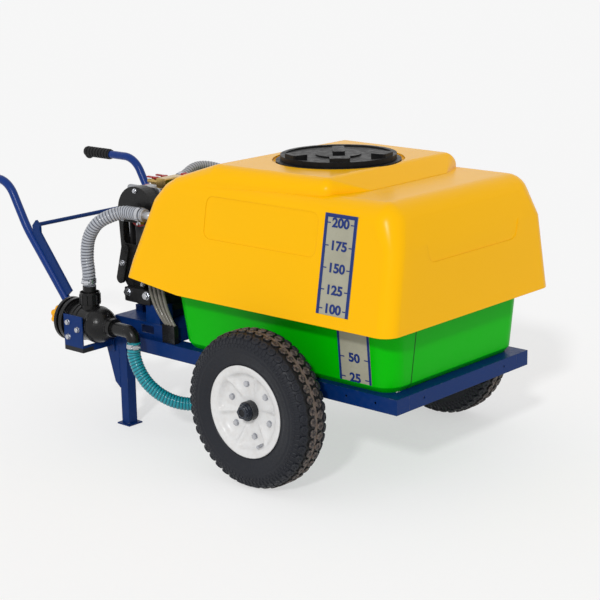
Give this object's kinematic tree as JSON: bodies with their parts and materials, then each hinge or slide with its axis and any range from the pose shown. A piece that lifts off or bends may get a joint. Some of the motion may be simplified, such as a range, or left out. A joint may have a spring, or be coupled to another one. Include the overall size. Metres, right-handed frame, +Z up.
{
  "type": "wheeled sprayer cart",
  "caption": "Barrow sprayer for orchards: a hooded tank on a rail frame with two wheels, stand legs and long handles, and an engine-driven pump fed through a filter and hoses.",
  "frame": {"origin": "on the ground, under the middle of the overall length and width", "axes": "+X forward, away from the handles; +Y to the left of the direction of travel; +Z up"},
  "size_m": [1.7519, 0.8856, 0.8073],
  "materials": {
    "frame_blue": "dark blue powder coat",
    "handle_blue": "blue powder coat",
    "grip_rubber": "ribbed black rubber",
    "tank_green": "smooth moulded polyethylene",
    "hood_yellow": "glossy gel coat",
    "gauge_clear": "clear strip",
    "black_plastic": "black moulded plastic",
    "lid_black": "fine-grained black plastic",
    "filter_black": "black glass-filled plastic",
    "guard_black": "black moulded plastic",
    "screen_steel": "woven steel screen",
    "nut_steel": "dark plated steel",
    "zinc_steel": "zinc-plated steel",
    "plate_steel": "bare steel plate",
    "hose_teal": "teal spiral hose",
    "hose_grey": "grey spiral hose",
    "return_grey": "grey return hose",
    "line_grey": "grey thin lines",
    "pump_iron": "dark cast body",
    "pump_red": "red paint",
    "cast_aluminium": "cast aluminium",
    "brass": "turned brass",
    "belt_rubber": "black belt",
    "engine_iron": "dark cast engine block",
    "engine_red": "red pressed cowl",
    "muffler_steel": "heat-dulled steel",
    "tyre": "black tyre rubber",
    "rim_white": "white paint",
    "hub_iron": "dark painted hub",
    "knob_yellow": "yellow plastic",
    "knob_red": "red plastic"
  },
  "bodies": {
    "cart": {"side_rails": "frame_blue", "cross_rails": "frame_blue", "axle_beam": "frame_blue", "stand_legs": "frame_blue", "engine_platform": "frame_blue", "handle_tubes": "handle_blue", "handle_brace": "frame_blue", "handle_grips": "grip_rubber", "tank": "tank_green", "hood": "hood_yellow", "level_gauges": "gauge_clear", "manway_ring": "black_plastic", "strainer_basket": "black_plastic", "tank_outlet": "black_plastic", "axle_nuts": "nut_steel", "filter_bracket": "frame_blue", "filter_body": "filter_black", "filter_screen": "screen_steel", "hose_fittings": "filter_black", "hose_clamps": "zinc_steel", "suction_hose": "hose_teal", "pump_hose": "hose_grey", "return_hose": "return_grey", "delivery_lines": "line_grey", "hex_bolts": "zinc_steel", "engine_stand": "frame_blue", "base_block": "black_plastic", "pump_bracket": "plate_steel", "pump_body": "pump_iron", "pump_heads": "pump_red", "pump_manifold": "cast_aluminium", "pressure_regulator": "brass", "belt_guard": "guard_black", "tension_link": "guard_black", "drive_belt": "belt_rubber", "engine_block": "engine_iron", "engine_cowl": "engine_red", "fuel_tank": "guard_black", "muffler": "muffler_steel", "air_cleaner": "black_plastic"},
    "wheel_near": {"tyre_near": "tyre", "rim_front_near": "rim_white", "rim_back_near": "rim_white", "hub_near": "hub_iron", "rim_bolts_near": "zinc_steel"},
    "wheel_far": {"tyre_far": "tyre", "rim_front_far": "rim_white", "rim_back_far": "rim_white", "hub_far": "hub_iron", "rim_bolts_far": "zinc_steel"},
    "lid": {"lid": "lid_black"},
    "valve_knob": {"valve_knob": "knob_yellow"},
    "regulator_knob": {"regulator_knob": "knob_red"},
    "tap_lever_near": {"tap_lever_near": "knob_red"},
    "tap_lever_far": {"tap_lever_far": "knob_red"},
    "pump_pulley": {"pump_pulley": "pump_red"},
    "engine_pulley": {"engine_pulley": "plate_steel"},
    "recoil_grip": {"recoil_grip": "black_plastic"},
    "fuel_cap": {"fuel_cap": "black_plastic"},
    "throttle_lever": {"throttle_lever": "plate_steel"}
  },
  "joints": [
    {"name": "wheel_near_spin", "type": "hinge", "parent": "cart", "child": "wheel_near", "pos_m": [0.485, -0.3885, 0.205], "axis": [0, 1, 0], "continuous": true},
    {"name": "wheel_far_spin", "type": "hinge", "parent": "cart", "child": "wheel_far", "pos_m": [0.485, 0.3885, 0.205], "axis": [0, 1, 0], "continuous": true},
    {"name": "lid_lift", "type": "slide", "parent": "cart", "child": "lid", "axis": [0, 0, 1], "range_m": [0, 0.25]},
    {"name": "valve_knob_turn", "type": "hinge", "parent": "cart", "child": "valve_knob", "pos_m": [-0.332, -0.33, 0.3], "axis": [1, 0, 0], "range_deg": [0, 90]},
    {"name": "regulator_knob_turn", "type": "hinge", "parent": "cart", "child": "regulator_knob", "pos_m": [-0.071, -0.076, 0.686], "axis": [0, 1, 0], "range_deg": [0, 270]},
    {"name": "tap_near_turn", "type": "hinge", "parent": "cart", "child": "tap_lever_near", "pos_m": [-0.103, -0.156, 0.686], "axis": [0, 0, 1], "range_deg": [0, 90]},
    {"name": "tap_far_turn", "type": "hinge", "parent": "cart", "child": "tap_lever_far", "pos_m": [-0.103, -0.122, 0.686], "axis": [0, 0, 1], "range_deg": [-90, 0]},
    {"name": "pump_shaft_spin", "type": "hinge", "parent": "cart", "child": "pump_pulley", "pos_m": [-0.093, -0.229, 0.613], "axis": [0, 1, 0], "continuous": true},
    {"name": "engine_shaft_spin", "type": "hinge", "parent": "cart", "child": "engine_pulley", "pos_m": [-0.107, -0.229, 0.436], "axis": [0, 1, 0], "continuous": true},
    {"name": "recoil_pull", "type": "slide", "parent": "cart", "child": "recoil_grip", "axis": [-1, 0, 0], "range_m": [0, 0.3], "stiffness_N_per_m": 15},
    {"name": "fuel_cap_turn", "type": "hinge", "parent": "cart", "child": "fuel_cap", "pos_m": [-0.107, 0.044, 0.606], "axis": [0, 0, 1], "range_deg": [0, 90]},
    {"name": "throttle_turn", "type": "hinge", "parent": "cart", "child": "throttle_lever", "pos_m": [-0.137, -0.084, 0.5], "axis": [0, 0, 1], "range_deg": [-20, 20]}
  ],
  "couplings": [
    {"joint": "engine_shaft_spin", "follows": "pump_shaft_spin", "ratio": 1.5106}
  ]
}
